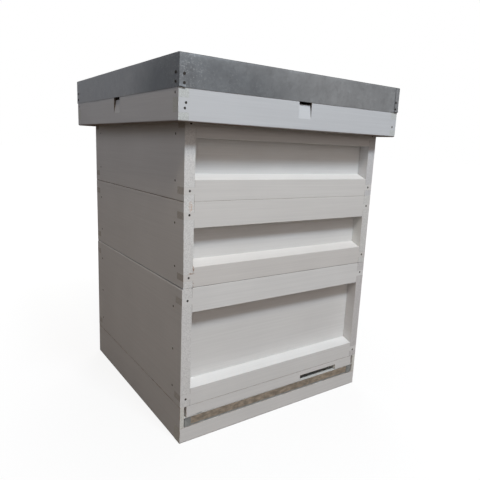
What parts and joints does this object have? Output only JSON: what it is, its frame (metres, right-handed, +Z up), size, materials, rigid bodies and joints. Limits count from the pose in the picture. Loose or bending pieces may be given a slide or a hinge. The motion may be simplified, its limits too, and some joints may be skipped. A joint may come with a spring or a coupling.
{
  "type": "beehive",
  "caption": "Square beehive with mesh floor, brood box, supers, hanging frames, crown board and flat metal-covered roof, all stacked loose.",
  "frame": {"origin": "centre of the boxes' 460 mm square footprint, on the ground; the roof sits a few millimetres off centre, and so does the whole object's own box", "axes": "+Z up; -Y is the front, where the bees go in; +X is to the right seen from the front"},
  "size_m": [0.5226, 0.5242, 0.675],
  "materials": {
    "white_painted_wood": "white paint brushed on softwood, faint grain showing",
    "raw_frame_wood": "bare planed pine",
    "plywood": "bare plywood",
    "galvanised_steel": "dull galvanised sheet with mottled spangle",
    "galvanised_tray": "brighter galvanised sheet, scuffed",
    "zinc_sheet": "plain zinc-coated sheet",
    "steel_nails": "dulled wire nail",
    "beeswax": "beeswax pressed with cells"
  },
  "bodies": {
    "floor": {"floor_side_left": "white_painted_wood", "floor_side_right": "white_painted_wood", "floor_front_rail": "white_painted_wood", "floor_back_rail": "white_painted_wood", "floor_mesh": "zinc_sheet"},
    "entrance_block": {"entrance_block": "white_painted_wood"},
    "inspection_tray": {"inspection_tray": "galvanised_tray"},
    "brood_box": {"brood_box_side_left": "white_painted_wood", "brood_box_side_right": "white_painted_wood", "brood_box_front_wall": "white_painted_wood", "brood_box_back_wall": "white_painted_wood", "brood_box_front_top_rail": "white_painted_wood", "brood_box_back_top_rail": "white_painted_wood", "brood_box_front_bottom_rail": "white_painted_wood", "brood_box_back_bottom_rail": "white_painted_wood", "brood_box_frame_runners": "zinc_sheet", "brood_box_nails": "steel_nails", "brood_frames": "raw_frame_wood", "brood_wax_sheets": "beeswax"},
    "brood_lifting_frame": {"brood_lifting_frame": "raw_frame_wood", "brood_lifting_frame_wax": "beeswax"},
    "lower_super": {"lower_super_side_left": "white_painted_wood", "lower_super_side_right": "white_painted_wood", "lower_super_front_wall": "white_painted_wood", "lower_super_back_wall": "white_painted_wood", "lower_super_front_top_rail": "white_painted_wood", "lower_super_back_top_rail": "white_painted_wood", "lower_super_front_bottom_rail": "white_painted_wood", "lower_super_back_bottom_rail": "white_painted_wood", "lower_super_frame_runners": "zinc_sheet", "lower_super_nails": "steel_nails", "lower_super_frames": "raw_frame_wood", "lower_super_wax_sheets": "beeswax"},
    "lower_super_lifting_frame": {"lower_super_lifting_frame": "raw_frame_wood", "lower_super_lifting_frame_wax": "beeswax"},
    "upper_super": {"upper_super_side_left": "white_painted_wood", "upper_super_side_right": "white_painted_wood", "upper_super_front_wall": "white_painted_wood", "upper_super_back_wall": "white_painted_wood", "upper_super_front_top_rail": "white_painted_wood", "upper_super_back_top_rail": "white_painted_wood", "upper_super_front_bottom_rail": "white_painted_wood", "upper_super_back_bottom_rail": "white_painted_wood", "upper_super_frame_runners": "zinc_sheet", "upper_super_nails": "steel_nails", "upper_super_frames": "raw_frame_wood", "upper_super_wax_sheets": "beeswax"},
    "upper_super_lifting_frame": {"upper_super_lifting_frame": "raw_frame_wood", "upper_super_lifting_frame_wax": "beeswax"},
    "queen_excluder": {"queen_excluder": "zinc_sheet"},
    "crown_board": {"crown_board_panel": "plywood", "crown_board_edging": "raw_frame_wood"},
    "roof": {"roof_front_board": "white_painted_wood", "roof_back_board": "white_painted_wood", "roof_left_board": "white_painted_wood", "roof_right_board": "white_painted_wood", "roof_deck": "plywood", "roof_battens": "raw_frame_wood", "roof_cover": "galvanised_steel", "roof_nails": "steel_nails"}
  },
  "joints": [
    {"name": "entrance_block_slide", "type": "slide", "parent": "floor", "child": "entrance_block", "axis": [0, -1, 0], "range_m": [0, 0.06]},
    {"name": "tray_slide", "type": "slide", "parent": "floor", "child": "inspection_tray", "axis": [0, -1, 0], "range_m": [0, 0.43]},
    {"name": "brood_box_lift", "type": "slide", "parent": "floor", "child": "brood_box", "axis": [0, 0, 1], "range_m": [0, 0.08]},
    {"name": "excluder_lift", "type": "slide", "parent": "brood_box", "child": "queen_excluder", "axis": [0, 0, 1], "range_m": [0, 0.27]},
    {"name": "lower_super_lift", "type": "slide", "parent": "queen_excluder", "child": "lower_super", "axis": [0, 0, 1], "range_m": [0, 0.04]},
    {"name": "upper_super_lift", "type": "slide", "parent": "lower_super", "child": "upper_super", "axis": [0, 0, 1], "range_m": [0, 0.18]},
    {"name": "crown_board_lift", "type": "slide", "parent": "upper_super", "child": "crown_board", "axis": [0, 0, 1], "range_m": [0, 0.18]},
    {"name": "roof_lift", "type": "slide", "parent": "crown_board", "child": "roof", "axis": [0, 0, 1], "range_m": [0, 0.12]},
    {"name": "brood_frame_lift", "type": "slide", "parent": "brood_box", "child": "brood_lifting_frame", "axis": [0, 0, 1], "range_m": [0, 0.243]},
    {"name": "lower_super_frame_lift", "type": "slide", "parent": "lower_super", "child": "lower_super_lifting_frame", "axis": [0, 0, 1], "range_m": [0, 0.162]},
    {"name": "upper_super_frame_lift", "type": "slide", "parent": "upper_super", "child": "upper_super_lifting_frame", "axis": [0, 0, 1], "range_m": [0, 0.162]}
  ],
  "couplings": [
    {"joint": "brood_frame_lift", "follows": "excluder_lift", "ratio": 0.9},
    {"joint": "lower_super_frame_lift", "follows": "upper_super_lift", "ratio": 0.9},
    {"joint": "upper_super_frame_lift", "follows": "crown_board_lift", "ratio": 0.9}
  ]
}
